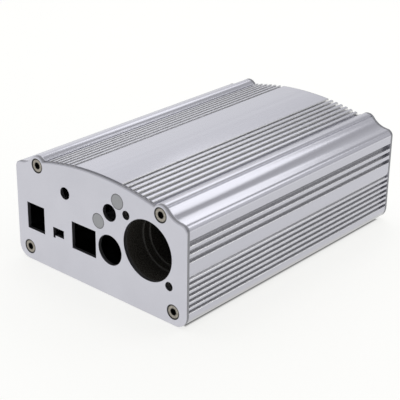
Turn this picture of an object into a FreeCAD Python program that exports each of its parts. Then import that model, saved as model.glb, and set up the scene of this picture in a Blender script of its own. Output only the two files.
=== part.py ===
import FreeCAD, Part
import math
import os
import Sketcher

# An extruded aluminium case: a finned tube closed by two end plates.
# X runs across the front, Y from the front to the rear and Z up. The origin is the middle of the
# flat underside.

os.makedirs("parts", exist_ok=True)
doc = FreeCAD.newDocument("case")
sheet = doc.addObject("Spreadsheet::Sheet", "Dimensions")

DIMENSIONS = [
    # The tube and the outline that the end plates share with it.
    ("case_width", 90.0),
    ("tube_length", 126.0),
    ("shoulder_height", 42.55),
    ("shoulder_fall", 1.8),
    ("crown_rise", 5.45),
    ("crown_radius", 125.0),
    ("bottom_corner_radius", 5.5),
    ("shoulder_corner_radius", 2.6),
    ("wall", 1.5),
    ("floor_thickness", 2.5),
    ("ear_radius", 3.9),
    ("ear_blend_radius", 9.0),
    ("ear_line_angle", 54.0),
    ("ear_line_width", 0.6),
    ("ear_line_depth", 0.5),
    # Fins and grooves.
    ("last_groove_inset", 4.15),
    ("fin_count", 6),
    ("fin_pitch", 2.58),
    ("fin_gap", 1.45),
    ("fin_depth", 1.5),
    ("fin_edge", 0.1),
    ("wide_groove_gap", 2.25),
    ("wide_groove_depth", 1.9),
    ("wide_groove_drop", 8.27),
    ("upper_groove_count", 2),
    ("upper_groove_pitch", 3.3),
    ("upper_groove_gap", 1.65),
    ("upper_groove_depth", 1.7),
    ("upper_groove_drop", 11.6),
    ("lower_groove_count", 6),
    ("lower_groove_pitch", 2.28),
    ("lower_groove_gap", 1.25),
    ("lower_groove_depth", 1.5),
    ("lower_groove_height", 18.57),
    ("band_foot_radius", 4.0),
    ("band_foot_depth", 0.95),
    # Board rails inside the tube.
    ("board_height", 11.4),
    ("board_slot", 1.8),
    ("rail_thickness", 1.2),
    ("rail_reach", 1.5),
    # End plates.
    ("plate_thickness", 1.5),
    ("plate_edge", 0.3),
    ("front_crown_drop", 0.3),
    ("rear_crown_drop", 1.5),
    # Screws and their places, the same at both ends.
    ("upper_screw_inset", 12.6),
    ("upper_screw_drop", 0.65),
    ("lower_screw_inset", 6.4),
    ("lower_screw_height", 5.5),
    ("boss_radius", 3.0),
    ("screw_shank", 2.9),
    ("screw_clearance", 0.1),
    ("screw_head", 5.5),
    ("screw_length", 10.0),
    ("screw_point", 0.3),
    ("socket_width", 2.5),
    ("socket_depth", 1.3),
    ("countersink", 6.0),
    ("plate_hole", 3.3),
    ("seat_clearance", 0.05),
    # Cut-outs of the front plate. Heights are measured down from the crown, and each piece of the
    # right-hand group is placed inward from the round port, which is placed from the right side.
    ("round_port", 24.0),
    ("round_port_inset", 19.0),
    ("round_port_drop", 22.2),
    ("flange_hole", 3.6),
    ("flange_hole_offset", 10.6),
    ("jack_port", 12.2),
    ("jack_port_inset", 19.2),
    ("jack_port_drop", 28.6),
    ("knob_port", 6.9),
    ("knob_port_inset", 19.1),
    ("knob_port_drop", 13.3),
    ("square_port_width", 13.0),
    ("square_port_height", 11.3),
    ("square_port_inset", 33.2),
    ("square_port_drop", 29.0),
    ("lamp_port", 5.0),
    ("lamp_port_aside", 17.0),
    ("lamp_port_drop", 12.9),
    ("side_port_width", 9.8),
    ("side_port_height", 11.2),
    ("side_port_aside", 34.2),
    ("side_port_drop", 28.6),
    ("slot_width", 6.1),
    ("slot_height", 3.4),
    ("slot_aside", 21.4),
    ("slot_drop", 30.9),
    ("slot_notch_width", 1.2),
    ("slot_notch_drop", 1.1),
    # Flush studs pressed into the front plate.
    ("stud_head", 6.1),
    ("stud_head_thickness", 0.9),
    ("stud_shank", 3.0),
    ("stud_length", 8.0),
    ("stud_fit", 0.05),
    ("low_stud_inset", 25.1),
    ("low_stud_drop", 18.5),
    ("high_stud_inset", 15.0),
    ("high_stud_drop", 7.6),
    # The stepped barrel behind the round port.
    ("barrel_wall", 1.0),
    ("barrel_step", 0.6),
    ("first_step_depth", 8.5),
    ("step_spacing", 3.0),
    ("barrel_length", 18.0),
    ("flange_thickness", 1.6),
    ("flange_rim", 1.2),
    ("lug_radius", 2.8),
    ("lug_hole", 2.6),
]

for row, (alias, size) in enumerate(DIMENSIONS, start=1):
    sheet.set(f"A{row}", str(size))
    sheet.setAlias(f"A{row}", alias)
doc.recompute()


def size_of(expression):
    """The present number behind an expression over the dimensions."""
    value = sheet.evalExpression(expression)
    return float(getattr(value, "Value", value))


def dim(alias):
    return f"Dimensions.{alias}"


def new_body(label, start):
    """A body whose own front is at the given place along Y."""
    body = doc.addObject("PartDesign::Body", label)
    body.Label = label
    body.setExpression(".Placement.Base.y", start)
    return body


def sketch_on(body, role, label, lift=None):
    """A sketch on one of the body's origin planes, its own origin lifted along its Y if asked."""
    sketch = body.newObject("Sketcher::SketchObject", label)
    plane = next(item for item in body.Origin.OriginFeatures if item.Role == role)
    sketch.AttachmentSupport = (plane, [""])
    sketch.MapMode = "FlatFace"
    if lift:
        sketch.setExpression(".AttachmentOffset.Base.y", lift)
    doc.recompute()
    return sketch


def bind(sketch, constraint, expression):
    index = sketch.addConstraint(constraint)
    sketch.setExpression(f"Constraints[{index}]", expression)


def fix_point(sketch, geometry, end, across, along):
    """Both coordinates of one point of a sketch, each bound to an expression."""
    bind(sketch, Sketcher.Constraint("DistanceX", geometry, end, size_of(across)), across)
    bind(sketch, Sketcher.Constraint("DistanceY", geometry, end, size_of(along)), along)


def outline(sketch, corners):
    """A closed outline of straight lines through corners, given as pairs of expressions."""
    places = [FreeCAD.Vector(size_of(across), size_of(along), 0) for across, along in corners]
    lines = []
    for start, end in zip(places, places[1:] + places[:1]):
        lines.append(sketch.addGeometry(Part.LineSegment(start, end), False))
    for line, following in zip(lines, lines[1:] + lines[:1]):
        sketch.addConstraint(Sketcher.Constraint("Coincident", line, 2, following, 1))
    for line, (across, along) in zip(lines, corners):
        fix_point(sketch, line, 1, across, along)


def rectangle(sketch, left, right, low, high):
    outline(sketch, [(left, low), (right, low), (right, high), (left, high)])


def circle(sketch, across, along, diameter):
    centre = FreeCAD.Vector(size_of(across), size_of(along), 0)
    ring = Part.Circle(centre, FreeCAD.Vector(0, 0, 1), size_of(diameter) / 2)
    index = sketch.addGeometry(ring, False)
    fix_point(sketch, index, 3, across, along)
    bind(sketch, Sketcher.Constraint("Diameter", index, size_of(diameter)), diameter)


def arched(sketch, half_width, base, crown, radius):
    """A closed outline with a flat base and an arc of the given radius and top height."""
    half, low, top, bend = [size_of(item) for item in (half_width, base, crown, radius)]
    centre = FreeCAD.Vector(0, top - bend, 0)
    lean = math.asin(half / bend)
    spring = centre.y + bend * math.cos(lean)
    arc = Part.ArcOfCircle(
        Part.Circle(centre, FreeCAD.Vector(0, 0, 1), bend), math.pi / 2 - lean, math.pi / 2 + lean
    )
    corners = [(-half, spring), (-half, low), (half, low), (half, spring)]
    corners = [FreeCAD.Vector(across, along, 0) for across, along in corners]
    top_arc = sketch.addGeometry(arc, False)
    lines = [
        sketch.addGeometry(Part.LineSegment(start, end), False)
        for start, end in zip(corners, corners[1:])
    ]
    sketch.addConstraint(Sketcher.Constraint("Coincident", top_arc, 2, lines[0], 1))
    sketch.addConstraint(Sketcher.Constraint("Coincident", lines[0], 2, lines[1], 1))
    sketch.addConstraint(Sketcher.Constraint("Coincident", lines[1], 2, lines[2], 1))
    sketch.addConstraint(Sketcher.Constraint("Coincident", lines[2], 2, top_arc, 1))
    sketch.addConstraint(Sketcher.Constraint("Vertical", lines[0]))
    sketch.addConstraint(Sketcher.Constraint("Vertical", lines[2]))
    fix_point(sketch, lines[1], 1, f"-({half_width})", base)
    fix_point(sketch, lines[1], 2, half_width, base)
    fix_point(sketch, top_arc, 3, "0", f"({crown}) - ({radius})")
    bind(sketch, Sketcher.Constraint("Radius", top_arc, bend), radius)


def pad(body, sketch, length, label):
    """Adds the sketch's area to the body, from the front towards the rear."""
    feature = body.newObject("PartDesign::Pad", label)
    feature.Profile = sketch
    feature.Reversed = True
    feature.setExpression("Length", length)
    doc.recompute()
    return feature


def cut(body, sketch, label, depth=None):
    """Takes the sketch's area out of the body, right through it unless a depth is given."""
    feature = body.newObject("PartDesign::Pocket", label)
    feature.Profile = sketch
    if depth:
        feature.setExpression("Length", depth)
    else:
        feature.Type = "ThroughAll"
    doc.recompute()
    return feature


def edges_where(feature, test):
    """Names of the straight edges along Y whose place across the section passes the test."""
    names = []
    for index, edge in enumerate(feature.Shape.Edges, start=1):
        start = edge.Vertexes[0].Point
        end = edge.Vertexes[-1].Point
        along_y = abs(start.x - end.x) + abs(start.z - end.z) < 1e-4
        if along_y and abs(start.y - end.y) > 1e-3 and test(start):
            names.append(f"Edge{index}")
    return names


def near(across, height):
    """A test for points at both sides of the section, at the given place."""
    return lambda point: math.hypot(abs(point.x) - across, point.z - height) < 0.02


def round_edges(body, feature, test, radius, label):
    fillet = body.newObject("PartDesign::Fillet", label)
    fillet.Base = (feature, edges_where(feature, test))
    fillet.setExpression("Radius", radius)
    doc.recompute()
    return fillet


def mirrored(body, features, label):
    """The features once more on the other side of the middle plane."""
    mirror = body.newObject("PartDesign::Mirrored", label)
    plane = next(item for item in body.Origin.OriginFeatures if item.Role == "YZ_Plane")
    mirror.Originals = features
    mirror.MirrorPlane = (plane, [""])
    body.Tip = mirror
    doc.recompute()
    return mirror


HALF_WIDTH = "Dimensions.case_width / 2"
HALF_TUBE = "(Dimensions.tube_length / 2)"
HALF_LENGTH = "(Dimensions.tube_length / 2 + Dimensions.plate_thickness)"
CROWN = "(Dimensions.shoulder_height + Dimensions.crown_rise)"
CORNER_HEIGHT = "(Dimensions.shoulder_height - Dimensions.shoulder_fall)"
CROWN_CENTRE = f"({CROWN} - Dimensions.crown_radius)"
UPPER_X = f"({HALF_WIDTH} - Dimensions.upper_screw_inset)"
UPPER_Z = "(Dimensions.shoulder_height - Dimensions.upper_screw_drop)"
LOWER_X = f"({HALF_WIDTH} - Dimensions.lower_screw_inset)"
PORT_BORE = "Dimensions.screw_shank + Dimensions.screw_clearance"
SCREW_PLACES = [
    ("left_upper", f"-{UPPER_X}", UPPER_Z),
    ("right_upper", UPPER_X, UPPER_Z),
    ("left_lower", f"-{LOWER_X}", dim("lower_screw_height")),
    ("right_lower", LOWER_X, dim("lower_screw_height")),
]


def section_solid(body, length, crown_drop):
    """The outline that tube and plates share: block with falling shoulders, arch and ears."""
    block = sketch_on(body, "XZ_Plane", f"{body.Label}_block")
    outline(
        block,
        [
            (f"-{HALF_WIDTH}", "0"),
            (HALF_WIDTH, "0"),
            (HALF_WIDTH, CORNER_HEIGHT),
            (UPPER_X, dim("shoulder_height")),
            (f"-{UPPER_X}", dim("shoulder_height")),
            (f"-{HALF_WIDTH}", CORNER_HEIGHT),
        ],
    )
    solid = pad(body, block, length, f"{body.Label}_block_pad")
    half = size_of(HALF_WIDTH)
    solid = round_edges(
        body, solid, near(half, 0), dim("bottom_corner_radius"), f"{body.Label}_lower_corners"
    )
    solid = round_edges(
        body,
        solid,
        near(half, size_of(CORNER_HEIGHT)),
        dim("shoulder_corner_radius"),
        f"{body.Label}_shoulder_corners",
    )
    arch = sketch_on(body, "XZ_Plane", f"{body.Label}_arch")
    arched(
        arch,
        UPPER_X,
        "Dimensions.shoulder_height - Dimensions.ear_radius",
        f"{CROWN} - {crown_drop}",
        f"Dimensions.crown_radius - {crown_drop}",
    )
    pad(body, arch, length, f"{body.Label}_arch_pad")
    ears = sketch_on(body, "XZ_Plane", f"{body.Label}_ears")
    for _, across, height in SCREW_PLACES[:2]:
        circle(ears, across, height, "2 * Dimensions.ear_radius")
    solid = pad(body, ears, length, f"{body.Label}_ears_pad")
    foot = ear_foot()
    return round_edges(
        body, solid, near(*foot), dim("ear_blend_radius"), f"{body.Label}_ear_blends"
    )


def ear_foot():
    """Where the ear's round meets the falling shoulder, before the two are blended."""
    slope = size_of(dim("shoulder_fall")) / size_of(dim("upper_screw_inset"))
    drop = size_of(dim("upper_screw_drop"))
    spread = 1 + slope**2
    reach = (slope * drop) ** 2 - spread * (drop**2 - size_of(dim("ear_radius")) ** 2)
    out = (slope * drop + math.sqrt(reach)) / spread
    return size_of(UPPER_X) + out, size_of(dim("shoulder_height")) - slope * out


def groove_mouth(sketch, middle, surface, gap, depth, upright):
    """A groove's section with its mouth bevelled, cut down into a surface from outside."""
    edge = dim("fin_edge")
    half = f"({gap}) / 2"
    steps = [
        (f"-{half}", f"-{depth}"),
        (half, f"-{depth}"),
        (half, f"-{edge}"),
        (f"{half} + {edge}", "0"),
        (f"{half} + {edge}", depth),
        (f"-{half} - {edge}", depth),
        (f"-{half} - {edge}", "0"),
        (f"-{half}", f"-{edge}"),
    ]
    corners = []
    for across, rise in steps:
        if upright:
            corners.append((f"{middle} + {across}", f"{surface} + ({rise})"))
        else:
            corners.append((f"{surface} + ({rise})", f"{middle} - ({across})"))
    outline(sketch, corners)


def both_sides(body, first, pattern, label):
    """A cut, its pattern and their mirror image as one feature."""
    mirror = doc.addObject("PartDesign::Mirrored", f"{label}_mirror")
    plane = next(item for item in body.Origin.OriginFeatures if item.Role == "YZ_Plane")
    mirror.MirrorPlane = (plane, [""])
    rows = body.newObject("PartDesign::MultiTransform", label)
    body.addObject(pattern)
    body.addObject(mirror)
    rows.Originals = [first]
    rows.Transformations = [pattern, mirror]
    body.Tip = rows
    doc.recompute()
    return rows


def top_fins(body):
    """Grooves cut side by side along the arch, from beside the ear in to the smooth band."""
    span = "Dimensions.fin_count * Dimensions.fin_pitch"
    last_place = f"({UPPER_X} - Dimensions.last_groove_inset)"
    groove = sketch_on(body, "XZ_Plane", "top_groove", lift=CROWN_CENTRE)
    groove_mouth(
        groove,
        last_place,
        f"(sqrt(Dimensions.crown_radius ^ 2 - {last_place} ^ 2))",
        dim("fin_gap"),
        dim("fin_depth"),
        upright=True,
    )
    first = cut(body, groove, "last_top_groove")
    fan = doc.addObject("PartDesign::PolarPattern", "top_groove_fan")
    fan.Axis = (groove, ["N_Axis"])
    fan.setExpression("Angle", f"{span} / Dimensions.crown_radius * 180 / pi")
    fan.setExpression("Occurrences", "Dimensions.fin_count + 1")
    return both_sides(body, first, fan, "top_grooves")


def side_groove(body, kind, middle):
    """One groove along the right side."""
    groove = sketch_on(body, "XZ_Plane", f"{kind}_groove")
    groove_mouth(
        groove,
        middle,
        HALF_WIDTH,
        dim(f"{kind}_groove_gap"),
        dim(f"{kind}_groove_depth"),
        upright=False,
    )
    return groove, cut(body, groove, f"first_{kind}_groove")


def side_grooves(body, kind, highest):
    """A row of grooves down each side, spaced by its own pitch below the highest one."""
    groove, first = side_groove(body, kind, highest)
    row = doc.addObject("PartDesign::LinearPattern", f"{kind}_groove_row")
    row.Direction = (groove, ["V_Axis"])
    row.Reversed = True
    row.setExpression(
        "Length", f"(Dimensions.{kind}_groove_count - 1) * Dimensions.{kind}_groove_pitch"
    )
    row.setExpression("Occurrences", dim(f"{kind}_groove_count"))
    return both_sides(body, first, row, f"{kind}_grooves")


def ear_lines(body):
    """A fine V groove along each ear, on its outer shoulder."""
    lean = f"({dim('ear_line_angle')})"
    out, rise = f"cos({lean})", f"sin({lean})"
    half = "Dimensions.ear_line_width / 2"
    deep = "(Dimensions.ear_radius - Dimensions.ear_line_depth)"
    high = "(Dimensions.ear_radius + Dimensions.fin_edge)"
    line = sketch_on(body, "XZ_Plane", "ear_line")
    corners = []
    for reach, aside in ((deep, "0"), (high, f"({half})"), (high, f"(-{half})")):
        corners.append(
            (
                f"{UPPER_X} + {reach} * {out} + {aside} * {rise}",
                f"{UPPER_Z} + {reach} * {rise} - {aside} * {out}",
            )
        )
    outline(line, corners)
    mirrored(body, [cut(body, line, "right_ear_line")], "both_ear_lines")


def band_foot(body):
    """The curved lower edge of the wide side band, which ends in a notch over the highest fin."""
    edge, radius, deep = dim("fin_edge"), dim("band_foot_radius"), dim("band_foot_depth")
    fin_top = (
        "(Dimensions.lower_groove_height + Dimensions.lower_groove_pitch"
        f" - Dimensions.lower_groove_gap / 2 - {edge})"
    )
    band_end = f"({fin_top} + sqrt({deep} * (2 * {radius} - {deep})))"
    corners = [
        (HALF_WIDTH, band_end),
        (f"{HALF_WIDTH} + {edge}", band_end),
        (f"{HALF_WIDTH} + {edge}", f"{fin_top} - {edge}"),
        (HALF_WIDTH, f"{fin_top} - {edge}"),
        (f"{HALF_WIDTH} - {edge}", fin_top),
        (f"{HALF_WIDTH} - {deep}", fin_top),
    ]
    notch = sketch_on(body, "XZ_Plane", "band_foot")
    places = [FreeCAD.Vector(size_of(across), size_of(along), 0) for across, along in corners]
    lines = [
        notch.addGeometry(Part.LineSegment(start, end), False)
        for start, end in zip(places, places[1:])
    ]
    for line, following in zip(lines, lines[1:]):
        notch.addConstraint(Sketcher.Constraint("Coincident", line, 2, following, 1))
    for line, (across, along) in zip(lines, corners):
        fix_point(notch, line, 1, across, along)
    fix_point(notch, lines[-1], 2, *corners[-1])
    bend = size_of(radius)
    centre = FreeCAD.Vector(places[0].x - bend, places[0].y, 0)
    lean = math.acos(1 - size_of(deep) / bend)
    ring = Part.Circle(centre, FreeCAD.Vector(0, 0, 1), bend)
    curve = notch.addGeometry(Part.ArcOfCircle(ring, -lean, 0), False)
    notch.addConstraint(Sketcher.Constraint("Coincident", lines[-1], 2, curve, 1))
    notch.addConstraint(Sketcher.Constraint("Coincident", curve, 2, lines[0], 1))
    bind(notch, Sketcher.Constraint("Radius", curve, bend), radius)
    mirrored(body, [cut(body, notch, "right_band_foot")], "both_band_feet")


def make_tube():
    """The extrusion: outer skin with fins, room inside, tapped screw ports and board rails."""
    body = new_body("extruded_body", f"-{HALF_TUBE}")
    length = dim("tube_length")
    section_solid(body, length, "0")

    skin = "(Dimensions.wall + Dimensions.wide_groove_depth)"
    top_skin = "(Dimensions.wall + Dimensions.fin_depth)"
    inner = f"({HALF_WIDTH} - {skin})"
    room = sketch_on(body, "XZ_Plane", "lower_room")
    rectangle(
        room, f"-{inner}", inner, dim("floor_thickness"), f"Dimensions.shoulder_height - {top_skin}"
    )
    cut(body, room, "lower_room_cut")
    vault = sketch_on(body, "XZ_Plane", "vaulted_room")
    arched(
        vault,
        UPPER_X,
        f"Dimensions.shoulder_height - 2 * {top_skin}",
        f"{CROWN} - {top_skin}",
        f"Dimensions.crown_radius - {top_skin}",
    )
    cut(body, vault, "vaulted_room_cut")

    bosses = sketch_on(body, "XZ_Plane", "screw_bosses")
    for _, across, height in SCREW_PLACES:
        circle(bosses, across, height, "2 * Dimensions.boss_radius")
    pad(body, bosses, length, "screw_boss_pads")
    rails = sketch_on(body, "XZ_Plane", "board_rails")
    for low in (
        "Dimensions.board_height - Dimensions.rail_thickness",
        "Dimensions.board_height + Dimensions.board_slot",
    ):
        rectangle(
            rails, f"{inner} - Dimensions.rail_reach", inner, low, f"{low} + Dimensions.rail_thickness"
        )
    low, middle = dim("floor_thickness"), dim("lower_screw_height")
    high = f"{middle} + Dimensions.boss_radius"
    left = f"{LOWER_X} - Dimensions.boss_radius"
    outline(
        rails,
        [(left, low), (inner, low), (inner, high), (LOWER_X, high), (LOWER_X, middle), (left, middle)],
    )
    mirrored(body, [pad(body, rails, length, "board_rail_pads")], "both_board_rails")
    ports = sketch_on(body, "XZ_Plane", "screw_ports")
    for _, across, height in SCREW_PLACES:
        circle(ports, across, height, PORT_BORE)
    cut(body, ports, "screw_port_cuts")

    ear_lines(body)
    top_fins(body)
    _, wide = side_groove(
        body, "wide", "(Dimensions.shoulder_height - Dimensions.wide_groove_drop)"
    )
    mirrored(body, [wide], "both_wide_grooves")
    side_grooves(body, "upper", "(Dimensions.shoulder_height - Dimensions.upper_groove_drop)")
    band_foot(body)
    side_grooves(body, "lower", dim("lower_groove_height"))
    return body


def sink_screw_seats(body, places, back):
    """A countersunk hole for each screw, opening at the front or at the back of a plate."""
    for label, across, height in places:
        seat = sketch_on(body, "XZ_Plane", f"{label}_seat")
        if back:
            seat.setExpression(".AttachmentOffset.Base.z", "-Dimensions.plate_thickness")
        circle(seat, across, height, dim("plate_hole"))
        hole = body.newObject("PartDesign::Hole", f"{label}_countersink")
        hole.Profile = seat
        hole.ThreadType = "None"
        hole.DepthType = "ThroughAll"
        hole.Reversed = back
        hole.HoleCutType = "Countersink"
        hole.HoleCutCustomValues = True
        hole.HoleCutCountersinkAngle = 90
        hole.setExpression("Diameter", dim("plate_hole"))
        hole.setExpression("HoleCutDiameter", dim("countersink"))
        doc.recompute()


def bevel_outer_edge(body, y_of_face, label):
    """A small bevel round the whole outer edge of a plate's outside face."""
    feature = body.Tip
    half = size_of(HALF_WIDTH)
    faces = [face for face in feature.Shape.Faces if abs(face.CenterOfMass.y - y_of_face) < 1e-4]
    widest = max(faces, key=lambda face: face.BoundBox.XLength)
    rim = widest.OuterWire
    names = []
    for index, edge in enumerate(feature.Shape.Edges, start=1):
        if any(edge.isSame(other) for other in rim.Edges):
            names.append(f"Edge{index}")
    bevel = body.newObject("PartDesign::Chamfer", label)
    bevel.Base = (feature, names)
    bevel.setExpression("Size", dim("plate_edge"))
    doc.recompute()
    return bevel


def make_front_plate():
    """The front plate with its cut-outs, screw seats and the seats of the flush studs."""
    body = new_body("front_plate", f"-{HALF_LENGTH}")
    section_solid(body, dim("plate_thickness"), dim("front_crown_drop"))
    bevel_outer_edge(body, 0, "front_plate_bevel")
    sink_screw_seats(body, SCREW_PLACES, back=False)

    rounds = sketch_on(body, "XZ_Plane", "round_cut_outs")
    for port in ("round_port", "jack_port", "knob_port", "lamp_port"):
        across, height = PLACES[port]
        circle(rounds, across, height, dim(port))
    for across, height in FLANGE_HOLES:
        circle(rounds, across, height, dim("flange_hole"))
    for across, height in (PLACES["low_stud"], PLACES["high_stud"]):
        circle(rounds, across, height, "Dimensions.stud_shank + 2 * Dimensions.stud_fit")
    cut(body, rounds, "round_cut_out_cuts")

    squares = sketch_on(body, "XZ_Plane", "square_cut_outs")
    for port in ("square_port", "side_port"):
        across, height = PLACES[port]
        wide, tall = f"{dim(f'{port}_width')} / 2", f"{dim(f'{port}_height')} / 2"
        rectangle(
            squares,
            f"{across} - {wide}",
            f"{across} + {wide}",
            f"{height} - {tall}",
            f"{height} + {tall}",
        )
    cut(body, squares, "square_cut_out_cuts")

    slot = sketch_on(body, "XZ_Plane", "notched_slot")
    across, height = PLACES["slot"]
    left = f"({across} - Dimensions.slot_width / 2)"
    right = f"({across} + Dimensions.slot_width / 2)"
    low = f"({height} - Dimensions.slot_height / 2)"
    high = f"({height} + Dimensions.slot_height / 2)"
    step = f"{left} + Dimensions.slot_notch_width"
    foot = f"{low} - Dimensions.slot_notch_drop"
    outline(
        slot,
        [(left, foot), (step, foot), (step, low), (right, low), (right, high), (left, high)],
    )
    cut(body, slot, "notched_slot_cut")

    seats = sketch_on(body, "XZ_Plane", "stud_seats")
    for across, height in (PLACES["low_stud"], PLACES["high_stud"]):
        circle(seats, across, height, "Dimensions.stud_head + 2 * Dimensions.stud_fit")
    cut(body, seats, "stud_seat_cuts", depth=dim("stud_head_thickness"))
    return body


def make_rear_plate():
    """The plain rear plate, a little lower at the crown so that the fins stand proud of it."""
    body = new_body("rear_plate", HALF_TUBE)
    section_solid(body, dim("plate_thickness"), dim("rear_crown_drop"))
    bevel_outer_edge(body, size_of("Dimensions.plate_thickness"), "rear_plate_bevel")
    sink_screw_seats(body, SCREW_PLACES, back=True)
    return body


def turned(body, half_profile, across, height, label):
    """A solid turned about an axis along Y, from pairs of depth and radius."""
    profile = sketch_on(body, "XY_Plane", f"{label}_profile")
    profile.setExpression(".AttachmentOffset.Base.x", across)
    profile.setExpression(".AttachmentOffset.Base.z", height)
    outline(profile, [(radius, depth) for depth, radius in half_profile])
    turn = body.newObject("PartDesign::Revolution", label)
    turn.Profile = profile
    turn.ReferenceAxis = (profile, ["V_Axis"])
    turn.Angle = 360
    doc.recompute()
    return turn


def sink_hex_socket(body, across, height, label):
    """A hexagonal socket from the front, down into a screw head."""
    sketch = sketch_on(body, "XZ_Plane", f"{label}_sketch")
    corner = "(Dimensions.socket_width / 2 / cos(30))"
    corners = []
    for turn in range(0, 360, 60):
        corners.append(
            (f"{across} + {corner} * cos({turn})", f"{height} + {corner} * sin({turn})")
        )
    outline(sketch, corners)
    cut(body, sketch, label, depth=f"{SCREW_SUNK} + Dimensions.socket_depth")


def make_screws():
    """Countersunk screws with hexagon sockets, four at the front and four at the rear."""
    head = "(Dimensions.screw_head / 2)"
    shank = "(Dimensions.screw_shank / 2)"
    tip = f"{SCREW_SUNK} + Dimensions.screw_length"
    lead = "Dimensions.screw_point"
    screws = []
    for end in ("front", "rear"):
        for place, across, height in SCREW_PLACES:
            label = f"{end}_{place}_screw"
            body = new_body(label, f"-{HALF_LENGTH}")
            sections = [
                (SCREW_SUNK, "0"),
                (SCREW_SUNK, head),
                (f"{SCREW_SUNK} + {head} - {shank}", shank),
                (f"{tip} - {lead}", shank),
                (tip, f"{shank} - {lead}"),
                (tip, "0"),
            ]
            turned(body, sections, across, height, f"{label}_turning")
            sink_hex_socket(body, across, height, f"{label}_socket")
            if end == "rear":
                body.Placement.Rotation = FreeCAD.Rotation(FreeCAD.Vector(0, 0, 1), 180)
                body.setExpression(".Placement.Base.y", HALF_LENGTH)
            screws.append(body)
    return group("plate_screws", screws)


def make_studs():
    """Two threaded studs whose heads are pressed in flush with the front plate's face."""
    head = "Dimensions.stud_head / 2"
    shank = "Dimensions.stud_shank / 2"
    studs = []
    for label in ("low_stud", "high_stud"):
        across, height = PLACES[label]
        body = new_body(label, f"-{HALF_LENGTH}")
        sections = [
            ("0", "0"),
            ("0", head),
            (dim("stud_head_thickness"), head),
            (dim("stud_head_thickness"), shank),
            (dim("stud_length"), shank),
            (dim("stud_length"), "0"),
        ]
        turned(body, sections, across, height, f"{label}_turning")
        studs.append(body)
    return group("flush_studs", studs)


def make_barrel():
    """The stepped barrel behind the round port, with a flange and two screw lugs."""
    body = new_body("socket_barrel", f"-{HALF_TUBE}")
    across, height = PLACES["round_port"]
    bore = "Dimensions.round_port"
    flange = sketch_on(body, "XZ_Plane", "flange")
    circle(flange, across, height, f"{bore} + 2 * Dimensions.flange_rim")
    pad(body, flange, dim("flange_thickness"), "flange_pad")
    sleeve = sketch_on(body, "XZ_Plane", "sleeve")
    circle(sleeve, across, height, f"{bore} + 2 * Dimensions.barrel_wall")
    pad(body, sleeve, dim("barrel_length"), "sleeve_pad")

    bar = sketch_on(body, "XZ_Plane", "lug_bar")
    aside = "Dimensions.lug_radius / sqrt(2)"
    corners = []
    for (lug_across, lug_height), turn in zip(FLANGE_HOLES, (1, -1)):
        for side in (-turn, turn):
            corners.append(
                (f"{lug_across} + ({side}) * {aside}", f"{lug_height} + ({side}) * {aside}")
            )
    outline(bar, corners)
    pad(body, bar, dim("flange_thickness"), "lug_bar_pad")
    lugs = sketch_on(body, "XZ_Plane", "lugs")
    for lug_across, lug_height in FLANGE_HOLES:
        circle(lugs, lug_across, lug_height, "2 * Dimensions.lug_radius")
    pad(body, lugs, dim("flange_thickness"), "lug_pads")
    holes = sketch_on(body, "XZ_Plane", "lug_holes")
    for lug_across, lug_height in FLANGE_HOLES:
        circle(holes, lug_across, lug_height, dim("lug_hole"))
    cut(body, holes, "lug_hole_cuts")

    first = dim("first_step_depth")
    second = "Dimensions.first_step_depth + Dimensions.step_spacing"
    for name, steps, depth in (("mouth", 0, first), ("waist", 1, second), ("throat", 2, None)):
        ring = sketch_on(body, "XZ_Plane", f"{name}_bore")
        circle(ring, across, height, f"{bore} - {steps} * 2 * Dimensions.barrel_step")
        cut(body, ring, f"{name}_bore_cut", depth=depth)
    return body


def group(label, bodies):
    """Several separate solids that are handed over as one piece."""
    holder = doc.addObject("Part::Compound", label)
    holder.Label = label
    holder.Links = bodies
    doc.recompute()
    return holder


SCREW_SUNK = (
    "((Dimensions.countersink - Dimensions.screw_head) / 2 - Dimensions.seat_clearance)"
)
PORT_X = f"({HALF_WIDTH} - Dimensions.round_port_inset)"
PLACES = {"round_port": (PORT_X, f"({CROWN} - Dimensions.round_port_drop)")}
for piece in ("jack_port", "knob_port", "square_port", "low_stud", "high_stud"):
    PLACES[piece] = (
        f"({PORT_X} - Dimensions.{piece}_inset)",
        f"({CROWN} - Dimensions.{piece}_drop)",
    )
for piece in ("lamp_port", "side_port", "slot"):
    PLACES[piece] = (f"(-Dimensions.{piece}_aside)", f"({CROWN} - Dimensions.{piece}_drop)")
FLANGE_HOLES = [
    (
        f"{PORT_X} - Dimensions.flange_hole_offset",
        f"{CROWN} - Dimensions.round_port_drop + Dimensions.flange_hole_offset",
    ),
    (
        f"{PORT_X} + Dimensions.flange_hole_offset",
        f"{CROWN} - Dimensions.round_port_drop - Dimensions.flange_hole_offset",
    ),
]

pieces = [
    make_tube(),
    make_front_plate(),
    make_rear_plate(),
    make_screws(),
    make_studs(),
    make_barrel(),
]
doc.recompute()

for item in doc.Objects:
    if "Invalid" in item.State or "Error" in item.State:
        raise RuntimeError(f"{item.Label} is {item.State}")
for piece in pieces:
    if piece.Shape.isNull() or not piece.Shape.isValid():
        raise RuntimeError(f"{piece.Label} has no valid shape")
    piece.Shape.exportStep(f"parts/{piece.Label}.step")
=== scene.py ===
import math
import bpy
from mathutils import Matrix, Vector


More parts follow.
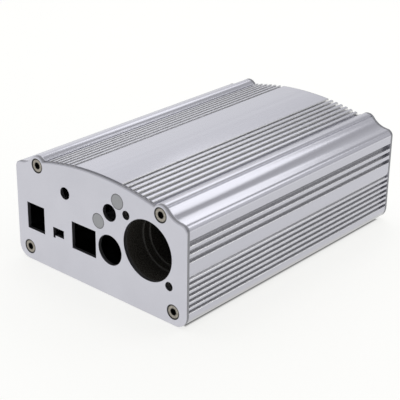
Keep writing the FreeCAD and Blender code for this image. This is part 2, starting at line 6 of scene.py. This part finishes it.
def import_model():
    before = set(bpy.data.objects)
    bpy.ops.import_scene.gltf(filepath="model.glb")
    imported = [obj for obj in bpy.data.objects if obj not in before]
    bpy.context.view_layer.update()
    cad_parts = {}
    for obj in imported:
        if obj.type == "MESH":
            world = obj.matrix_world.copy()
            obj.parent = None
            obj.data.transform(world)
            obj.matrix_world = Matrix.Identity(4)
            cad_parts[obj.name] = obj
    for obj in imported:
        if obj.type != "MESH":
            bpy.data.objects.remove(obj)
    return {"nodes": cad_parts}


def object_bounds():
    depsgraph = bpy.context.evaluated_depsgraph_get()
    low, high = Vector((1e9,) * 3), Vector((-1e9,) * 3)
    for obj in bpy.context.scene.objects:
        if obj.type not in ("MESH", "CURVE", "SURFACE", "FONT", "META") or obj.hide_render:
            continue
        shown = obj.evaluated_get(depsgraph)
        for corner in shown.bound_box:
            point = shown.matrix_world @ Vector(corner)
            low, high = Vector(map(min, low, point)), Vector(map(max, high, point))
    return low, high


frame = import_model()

cad_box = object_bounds()

# The scene gives the aluminium case its materials and lights it as in the photograph.
# Lengths are in metres and angles in degrees. An azimuth turns from the rear towards the right.

# Places on the case.
HALF_WIDTH = cad_box[1][0]
HALF_LENGTH = cad_box[1][1]
UPPER_SCREW = (0.0324, 0.0419)
LOWER_SCREW = (0.0386, 0.0055)
SCREW_CENTRES = [
    (side * across, height) for across, height in (UPPER_SCREW, LOWER_SCREW) for side in (-1, 1)
]
STUD_CENTRES = [(0.0009, 0.0295), (0.0110, 0.0404)]

# Where the parts of a finish and the painted light and shade begin and end: distances across or up
# the case, then distances from the middle of a screw or stud, then how far the surface turns towards
# an axis.
FIN_ZONE_END = (0.0287, 0.0290)
SIDE_ZONE_TOP = (0.0385, 0.0390)
SIDE_GROOVE_END = (HALF_WIDTH - 0.0004, HALF_WIDTH - 0.0001)
SIDE_LIP_START = (HALF_WIDTH - 0.0007, HALF_WIDTH - 0.0004)
SCREW_SEAT_END = (0.0029, 0.0031)
SCREW_RIM_START = (0.0023, 0.0026)
SCREW_RECESS_END = (0.0013, 0.0016)
STUD_RIM_START = (0.0026, 0.0029)
FIN_WALL_TURN = (0.5, 0.8)
SIDE_LIP_TURN = (0.2, 0.45)
PLATE_RIM_TURN = (0.35, 0.6)

# Colours, as two tones where a finish varies between them. Some are painted light and shade, each
# marked below.
TOP_TONES = ((0.575, 0.575, 0.63, 1), (0.605, 0.605, 0.66, 1))
SIDE_TONE = (0.53, 0.53, 0.585, 1)
# Painted light: a paler tone on the walls between the top fins.
FIN_WALL_PAINTED_LIGHT_TONE = (0.72, 0.72, 0.72, 1)
# Painted shade: a darker tone for the faces set back from the side.
SIDE_GROOVE_SHADE_TONE = (0.50, 0.50, 0.52, 1)
# Painted highlight: a near-white tone for the upward-facing rounded edges of the side fins.
SIDE_LIP_HIGHLIGHT_TONE = (0.98, 0.98, 0.99, 1)
PLATE_TONES = ((0.645, 0.645, 0.705, 1), (0.675, 0.675, 0.735, 1))
# Painted shade: a dark tone for the plate's edge.
PLATE_RIM_SHADE_TONE = (0.28, 0.28, 0.30, 1)
# Painted shadow: a near-black ring for the gap round each screw head.
SCREW_SEAT_SHADOW_TONE = (0.05, 0.05, 0.05, 1)
SCREW_TONES = ((0.22, 0.20, 0.17, 1), (0.46, 0.43, 0.38, 1))
SCREW_SHADE_TONE = (0.03, 0.03, 0.028, 1)
STUD_TONES = ((0.35, 0.355, 0.37, 1), (0.42, 0.425, 0.44, 1))
# Painted shade: a darker tone for the rim of each stud head.
STUD_RIM_SHADE_TONE = (0.20, 0.20, 0.21, 1)
SOCKET_TONES = ((0.030, 0.028, 0.024, 1), (0.050, 0.047, 0.041, 1))

# Grain of the finishes, as cycles per metre along X, Y and Z.
DRAWN_LINES = (5200.0, 9.0, 5200.0)
DRAWN_BANDS = (420.0, 2.5, 420.0)
FROSTED_GRAIN = (9000.0, 9000.0, 9000.0)
BLASTED_GRAIN = (5200.0, 5200.0, 5200.0)
BLASTED_CLOUDS = (60.0, 60.0, 60.0)
SCREW_WEAR = (1400.0, 1400.0, 1400.0)
STUD_GRAIN = (3000.0, 3000.0, 3000.0)
SOCKET_GRAIN = (2500.0, 2500.0, 2500.0)
COARSE_DETAIL = 2.0
FINE_DETAIL = 3.0
NOISE_ROUGHNESS = 0.55
NOISE_SPREAD = (0.3, 0.7)

# Roughness ranges and bumps, a bump as its strength and its depth.
EXTRUSION_ROUGHNESS = (0.15, 0.22)
PLATE_ROUGHNESS = (0.42, 0.52)
SCREW_ROUGHNESS = (0.28, 0.45)
STUD_ROUGHNESS = (0.45, 0.6)
SOCKET_ROUGHNESS = (0.22, 0.32)
LINE_BUMP = (0.10, 0.00002)
FROST_BUMP = (0.12, 0.00003)
BLAST_BUMP = (0.25, 0.00004)
WEAR_BUMP = (0.2, 0.00004)
FINE_BUMP = (0.2, 0.00003)
EDGE_ROUNDING = 0.0005
ROUNDING_SAMPLES = 6

# The floor. Its glow ends a little inside the foot of the case, which leaves a thin dark line there.
FLOOR_HALF_SIZE = 0.45
FLOOR_GAP = 0.0002
FLOOR_GLOW_START = (-0.0035, -0.0023)
FLOOR_GLOW_COLOUR = (1.0, 1.0, 0.98, 1)
FLOOR_GLOW_UNSEEN = 0.46
FLOOR_GLOW_SEEN = 0.735
FLOOR_TONE_UNSEEN = (0.55, 0.55, 0.54, 1)
FLOOR_TONE_SEEN = (0.30, 0.30, 0.295, 1)
FLOOR_ROUGHNESS = 0.8

# The room: an even light, glows as azimuth, elevation, tightness and radiance, and softboxes as
# name, azimuth, elevation, distance, width, height and radiance.
BACKGROUND = (0.98, 0.98, 0.96, 1)
ROOM_COLOUR = (0.985, 0.985, 1.0, 1)
ROOM_LIGHT = 0.48
GLOWS = ((-60, 20, 5, 0.56), (50, 24, 12, 0.35))
SOFTBOX_AIM = Vector((0, 0, 0.025))
SOFTBOXES = (
    ("top_softbox", 0, 90, 1.6, 1.4, 1.4, 0.95),
    ("left_softbox", -29, 43, 0.53, 0.19, 0.17, 0.80),
    ("right_softbox", 35, 42.6, 0.483, 0.185, 0.17, 0.98),
)

# The colour sockets of a Mix node, which shares their names with its other kinds of socket.
MIX_COLOUR_A = 6
MIX_COLOUR_B = 7
MIX_COLOUR_RESULT = 2

# The photograph's camera, to the front right of the case and slightly rolled.
CAMERA_AZIMUTH = 138.86
CAMERA_ELEVATION = 24.43
CAMERA_ROLL = 0.85
CAMERA_PLACE = (0.28591, -0.33373, 0.21588)
CAMERA_LENS = 105.27
CAMERA_SENSOR = 36.0
CAMERA_CLIP_START = 0.01


def new_material(name):
    """An empty material with one shader: the material, its node tree and the shader."""
    material = bpy.data.materials.new(name)
    material.use_nodes = True
    tree = material.node_tree
    tree.nodes.clear()
    shader = tree.nodes.new("ShaderNodeBsdfPrincipled")
    output = tree.nodes.new("ShaderNodeOutputMaterial")
    tree.links.new(shader.outputs["BSDF"], output.inputs["Surface"])
    return material, tree, shader


def calculate(tree, operation, *values):
    """The result of one operation on sockets and numbers."""
    node = tree.nodes.new("ShaderNodeMath")
    node.operation = operation
    for socket, value in zip(node.inputs, values):
        if isinstance(value, (int, float)):
            socket.default_value = value
        else:
            tree.links.new(value, socket)
    return node.outputs[0]


def map_range(tree, value, limits, low, high):
    """A straight ramp from low at the first limit to high at the second, level beyond them."""
    node = tree.nodes.new("ShaderNodeMapRange")
    node.inputs["From Min"].default_value, node.inputs["From Max"].default_value = limits
    node.inputs["To Min"].default_value = low
    node.inputs["To Max"].default_value = high
    tree.links.new(value, node.inputs["Value"])
    return node.outputs["Result"]


def after(tree, value, limits):
    """A mask that is 0 before the limits and 1 after them."""
    return map_range(tree, value, limits, 0.0, 1.0)


def before(tree, value, limits):
    """A mask that is 1 before the limits and 0 after them."""
    return map_range(tree, value, limits, 1.0, 0.0)


def noise(tree, scale, detail):
    """Noise with its own number of cycles per metre along each axis."""
    place = tree.nodes.new("ShaderNodeTexCoord")
    stretch = tree.nodes.new("ShaderNodeMapping")
    stretch.inputs["Scale"].default_value = scale
    pattern = tree.nodes.new("ShaderNodeTexNoise")
    pattern.inputs["Scale"].default_value = 1.0
    pattern.inputs["Detail"].default_value = detail
    pattern.inputs["Roughness"].default_value = NOISE_ROUGHNESS
    tree.links.new(place.outputs["Object"], stretch.inputs["Vector"])
    tree.links.new(stretch.outputs["Vector"], pattern.inputs["Vector"])
    return pattern.outputs["Fac"]


def paint(tree, mask, below, above):
    """One colour over another where the mask is 1. Either is a colour or a socket."""
    node = tree.nodes.new("ShaderNodeMix")
    node.data_type = "RGBA"
    tree.links.new(mask, node.inputs["Factor"])
    for index, colour in ((MIX_COLOUR_A, below), (MIX_COLOUR_B, above)):
        if isinstance(colour, tuple):
            node.inputs[index].default_value = colour
        else:
            tree.links.new(colour, node.inputs[index])
    return node.outputs[MIX_COLOUR_RESULT]


def varied(tree, pattern, tones):
    """A colour that varies with a noise between two tones."""
    return paint(tree, map_range(tree, pattern, NOISE_SPREAD, 0.0, 1.0), *tones)


def along(tree, vector, axis):
    """The part of a vector along one axis."""
    split = tree.nodes.new("ShaderNodeSeparateXYZ")
    tree.links.new(vector, split.inputs["Vector"])
    return split.outputs[axis]


def size_along(tree, output, axis):
    """The size, without its sign, of one axis of the object's normal or place."""
    place = tree.nodes.new("ShaderNodeTexCoord")
    return calculate(tree, "ABSOLUTE", along(tree, place.outputs[output], axis))


def centre_distance(tree, centres):
    """How far a point lies, seen along Y, from the nearest of some centres."""
    place = tree.nodes.new("ShaderNodeTexCoord")
    flat = tree.nodes.new("ShaderNodeVectorMath")
    flat.operation = "MULTIPLY"
    flat.inputs[1].default_value = (1.0, 0.0, 1.0)
    tree.links.new(place.outputs["Object"], flat.inputs[0])
    nearest = None
    for across, height in centres:
        gap = tree.nodes.new("ShaderNodeVectorMath")
        gap.operation = "DISTANCE"
        gap.inputs[1].default_value = (across, 0.0, height)
        tree.links.new(flat.outputs["Vector"], gap.inputs[0])
        distance = gap.outputs["Value"]
        nearest = calculate(tree, "MINIMUM", nearest, distance) if nearest else distance
    return nearest


def rounded_normal(tree):
    """The normal with sharp edges rounded off, so that they catch the light as real ones do."""
    rounding = tree.nodes.new("ShaderNodeBevel")
    rounding.samples = ROUNDING_SAMPLES
    rounding.inputs["Radius"].default_value = EDGE_ROUNDING
    return rounding.outputs["Normal"]


def bumped_normal(tree, height, bump, below=None):
    """The normal of a fine relief, laid on another normal if one is given."""
    strength, depth = bump
    relief = tree.nodes.new("ShaderNodeBump")
    relief.inputs["Strength"].default_value = strength
    relief.inputs["Distance"].default_value = depth
    tree.links.new(height, relief.inputs["Height"])
    if below:
        tree.links.new(below, relief.inputs["Normal"])
    return relief.outputs["Normal"]


def finish(tree, shader, tone, pattern, roughness, normal, metallic=1.0):
    """Gives the shader its colour, a roughness that varies with a noise, and its normal."""
    tree.links.new(tone, shader.inputs["Base Color"])
    tree.links.new(
        map_range(tree, pattern, NOISE_SPREAD, *roughness), shader.inputs["Roughness"]
    )
    tree.links.new(normal, shader.inputs["Normal"])
    shader.inputs["Metallic"].default_value = metallic


def extrusion_material():
    """Satin anodised extrusion: fine drawing lines along Y and a faint frosted grain, the sides a
    little darker than the top, painted light on the walls between the top fins, painted shade on the
    faces set back from the sides and painted highlights on the upward edges of the side fins.
    """
    material, tree, shader = new_material("anodised_extrusion")
    lines = noise(tree, DRAWN_LINES, FINE_DETAIL)
    bands = noise(tree, DRAWN_BANDS, COARSE_DETAIL)
    grain = noise(tree, FROSTED_GRAIN, COARSE_DETAIL)
    across = size_along(tree, "Object", "X")
    height = size_along(tree, "Object", "Z")
    rounded = rounded_normal(tree)

    # Painted light: the walls between the top fins are made paler, so the channels read lighter than
    # their shade.
    painted_fin_wall_light = calculate(
        tree,
        "MULTIPLY",
        after(tree, size_along(tree, "Normal", "X"), FIN_WALL_TURN),
        before(tree, across, FIN_ZONE_END),
    )
    sides = before(tree, height, SIDE_ZONE_TOP)
    # Painted shade: below the top, every face set back from the outer side face, such as the channel
    # floors and walls, is darker.
    painted_groove_shade = calculate(tree, "MULTIPLY", sides, before(tree, across, SIDE_GROOVE_END))
    # Painted highlight: the rounded edges of the side fins that face upwards are made near white.
    painted_lip_highlight = calculate(tree, "MULTIPLY", sides, after(tree, across, SIDE_LIP_START))
    upward = after(tree, along(tree, rounded, "Z"), SIDE_LIP_TURN)
    painted_lip_highlight = calculate(tree, "MULTIPLY", painted_lip_highlight, upward)

    tone = varied(tree, bands, TOP_TONES)
    tone = paint(tree, painted_fin_wall_light, tone, FIN_WALL_PAINTED_LIGHT_TONE)
    tone = paint(tree, sides, tone, SIDE_TONE)
    tone = paint(tree, painted_groove_shade, tone, SIDE_GROOVE_SHADE_TONE)
    tone = paint(tree, painted_lip_highlight, tone, SIDE_LIP_HIGHLIGHT_TONE)
    normal = bumped_normal(tree, lines, LINE_BUMP, rounded)
    normal = bumped_normal(tree, grain, FROST_BUMP, normal)
    finish(tree, shader, tone, lines, EXTRUSION_ROUGHNESS, normal)
    return material


def plate_material():
    """Bead-blasted and anodised plate: even fine grain, no direction, painted shade on its edge and
    a painted shadow in each screw seat.
    """
    material, tree, shader = new_material("blasted_plate")
    grain = noise(tree, BLASTED_GRAIN, FINE_DETAIL)
    clouds = noise(tree, BLASTED_CLOUDS, COARSE_DETAIL)
    # Painted shade: the edge of the plate, where it turns away from the front, is dark.
    rim = before(tree, size_along(tree, "Normal", "Y"), PLATE_RIM_TURN)
    # Painted shadow: a near-black ring on the plate round each screw head, in its countersunk seat.
    painted_seat_shadow = before(tree, centre_distance(tree, SCREW_CENTRES), SCREW_SEAT_END)
    tone = varied(tree, clouds, PLATE_TONES)
    tone = paint(tree, rim, tone, PLATE_RIM_SHADE_TONE)
    tone = paint(tree, painted_seat_shadow, tone, SCREW_SEAT_SHADOW_TONE)
    finish(tree, shader, tone, grain, PLATE_ROUGHNESS, bumped_normal(tree, grain, BLAST_BUMP))
    return material


def screw_material():
    """Warm nickel-plated steel with fine wear, darker at its rim and in its recess."""
    material, tree, shader = new_material("plated_screw")
    wear = noise(tree, SCREW_WEAR, FINE_DETAIL)
    away = centre_distance(tree, SCREW_CENTRES)
    tone = varied(tree, wear, SCREW_TONES)
    for shade in (after(tree, away, SCREW_RIM_START), before(tree, away, SCREW_RECESS_END)):
        tone = paint(tree, shade, tone, SCREW_SHADE_TONE)
    finish(tree, shader, tone, wear, SCREW_ROUGHNESS, bumped_normal(tree, wear, WEAR_BUMP))
    return material


def stud_material():
    """Dull steel stud heads with painted shade at their rim."""
    material, tree, shader = new_material("stud_steel")
    grain = noise(tree, STUD_GRAIN, FINE_DETAIL)
    # Painted shade: the rim of each stud head is darker.
    rim = after(tree, centre_distance(tree, STUD_CENTRES), STUD_RIM_START)
    tone = paint(tree, rim, varied(tree, grain, STUD_TONES), STUD_RIM_SHADE_TONE)
    finish(tree, shader, tone, grain, STUD_ROUGHNESS, bumped_normal(tree, grain, FINE_BUMP))
    return material


def socket_material():
    """Black moulded plastic with a satin gloss and slightly rounded steps."""
    material, tree, shader = new_material("socket_black")
    grain = noise(tree, SOCKET_GRAIN, FINE_DETAIL)
    tone = varied(tree, grain, SOCKET_TONES)
    normal = bumped_normal(tree, grain, FINE_BUMP, rounded_normal(tree))
    finish(tree, shader, tone, grain, SOCKET_ROUGHNESS, normal, metallic=0.0)
    return material


def dress_case():
    """Gives each CAD node its material. The two plates share one."""
    plate = plate_material()
    finishes = {
        "extruded_body": extrusion_material(),
        "front_plate": plate,
        "rear_plate": plate,
        "plate_screws": screw_material(),
        "flush_studs": stud_material(),
        "socket_barrel": socket_material(),
    }
    for name, material in finishes.items():
        node = frame["nodes"][name]
        node.data.materials.clear()
        node.data.materials.append(material)


def seen_rays(tree):
    """1 for rays from the camera and for those that show the background in gloss or glass."""
    rays = tree.nodes.new("ShaderNodeLightPath")
    seen = rays.outputs["Is Camera Ray"]
    for kind in ("Is Glossy Ray", "Is Transmission Ray"):
        seen = calculate(tree, "MAXIMUM", seen, rays.outputs[kind])
    return seen


def add_floor():
    """A pale floor that keeps the object's shadow and goes dark just inside its foot."""
    bpy.ops.mesh.primitive_plane_add(size=2 * FLOOR_HALF_SIZE, location=(0, 0, -FLOOR_GAP))
    floor = bpy.context.object
    floor.name = "studio_floor"
    material, tree, shader = new_material("pale_floor")
    seen = seen_rays(tree)
    tone = paint(tree, seen, FLOOR_TONE_UNSEEN, FLOOR_TONE_SEEN)
    tree.links.new(tone, shader.inputs["Base Color"])
    shader.inputs["Roughness"].default_value = FLOOR_ROUGHNESS
    shader.inputs["Emission Color"].default_value = FLOOR_GLOW_COLOUR
    beyond = [
        calculate(tree, "SUBTRACT", size_along(tree, "Object", axis), half)
        for axis, half in (("X", HALF_WIDTH), ("Y", HALF_LENGTH))
    ]
    open_air = after(tree, calculate(tree, "MAXIMUM", *beyond), FLOOR_GLOW_START)
    strength = map_range(tree, seen, (0.0, 1.0), FLOOR_GLOW_UNSEEN, FLOOR_GLOW_SEEN)
    glow = calculate(tree, "MULTIPLY", open_air, strength)
    tree.links.new(glow, shader.inputs["Emission Strength"])
    floor.data.materials.append(material)


def direction_to(azimuth, elevation):
    """The unit vector from the case towards a place in the room."""
    azimuth, elevation = math.radians(azimuth), math.radians(elevation)
    return Vector(
        (
            math.cos(elevation) * math.sin(azimuth),
            math.cos(elevation) * math.cos(azimuth),
            math.sin(elevation),
        )
    )


def room_glow(tree, azimuth, elevation, tightness, radiance):
    """A soft round light in the room's wall: it fades by exp(tightness * (cos(angle) - 1))."""
    place = tree.nodes.new("ShaderNodeTexCoord")
    facing = tree.nodes.new("ShaderNodeVectorMath")
    facing.operation = "DOT_PRODUCT"
    facing.inputs[1].default_value = direction_to(azimuth, elevation)
    tree.links.new(place.outputs["Generated"], facing.inputs[0])
    fall = calculate(tree, "SUBTRACT", facing.outputs["Value"], 1.0)
    share = calculate(tree, "EXPONENT", calculate(tree, "MULTIPLY", fall, tightness))
    return calculate(tree, "MULTIPLY", share, radiance)


def add_world():
    """White to the camera. The light, and what the metal mirrors, is a room with soft glows."""
    world = bpy.data.worlds.new("studio")
    bpy.context.scene.world = world
    world.use_nodes = True
    tree = world.node_tree
    tree.nodes.clear()
    rays = tree.nodes.new("ShaderNodeLightPath")
    white = tree.nodes.new("ShaderNodeBackground")
    white.inputs["Color"].default_value = BACKGROUND
    room = tree.nodes.new("ShaderNodeBackground")
    room.inputs["Color"].default_value = ROOM_COLOUR
    strength = ROOM_LIGHT
    for glow in GLOWS:
        strength = calculate(tree, "ADD", room_glow(tree, *glow), strength)
    tree.links.new(strength, room.inputs["Strength"])
    choose = tree.nodes.new("ShaderNodeMixShader")
    output = tree.nodes.new("ShaderNodeOutputWorld")
    tree.links.new(rays.outputs["Is Camera Ray"], choose.inputs["Fac"])
    tree.links.new(room.outputs["Background"], choose.inputs[1])
    tree.links.new(white.outputs["Background"], choose.inputs[2])
    tree.links.new(choose.outputs["Shader"], output.inputs["Surface"])


def add_softbox(name, azimuth, elevation, distance, width, height, radiance):
    """A rectangular light of the given radiance, facing the case."""
    data = bpy.data.lights.new(name, "AREA")
    data.shape = "RECTANGLE"
    data.size = width
    data.size_y = height
    data.energy = radiance * math.pi * width * height
    lamp = bpy.data.objects.new(name, data)
    bpy.context.collection.objects.link(lamp)
    lamp.location = SOFTBOX_AIM + direction_to(azimuth, elevation) * distance
    lamp.rotation_euler = (SOFTBOX_AIM - lamp.location).to_track_quat("-Z", "Y").to_euler()


def add_camera():
    """The photograph's camera, turned about its own axis by the roll."""
    back = direction_to(CAMERA_AZIMUTH, CAMERA_ELEVATION)
    right = Vector((0, 0, 1)).cross(back).normalized()
    up = back.cross(right)
    roll = math.radians(CAMERA_ROLL)
    turned_right = right * math.cos(roll) + up * math.sin(roll)
    turned_up = up * math.cos(roll) - right * math.sin(roll)
    data = bpy.data.cameras.new("camera")
    data.sensor_width = CAMERA_SENSOR
    data.lens = CAMERA_LENS
    data.clip_start = CAMERA_CLIP_START
    camera = bpy.data.objects.new("camera", data)
    bpy.context.collection.objects.link(camera)
    turn = Matrix((turned_right, turned_up, back)).transposed()
    camera.matrix_world = Matrix.Translation(CAMERA_PLACE) @ turn.to_4x4()
    bpy.context.scene.camera = camera


dress_case()
add_floor()
add_world()
for softbox in SOFTBOXES:
    add_softbox(*softbox)
add_camera()
bpy.context.scene.view_settings.view_transform = "Standard"
